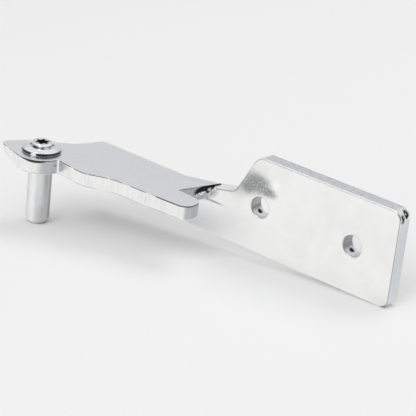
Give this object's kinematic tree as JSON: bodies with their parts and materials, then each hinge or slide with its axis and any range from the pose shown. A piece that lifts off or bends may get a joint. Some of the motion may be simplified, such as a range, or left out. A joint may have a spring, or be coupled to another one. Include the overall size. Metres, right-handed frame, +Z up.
{
  "type": "fridge door hinge",
  "caption": "Folded sheet-steel door hinge bracket with an upright mounting plate, a flat arm with a stop tab, and a riveted pin pointing down.",
  "frame": {"origin": "on the back face of the mounting plate, halfway between the two screw holes", "axes": "+X along the plate to its free end, -Y away from the cabinet, +Z up; the pin points along -Z"},
  "size_m": [0.1126, 0.0305, 0.034],
  "materials": {
    "plated_steel": "bright zinc plate",
    "pin_steel": "turned and zinc plated"
  },
  "bodies": {
    "root": {"bracket": "plated_steel", "hinge_pin": "pin_steel"}
  },
  "joints": []
}
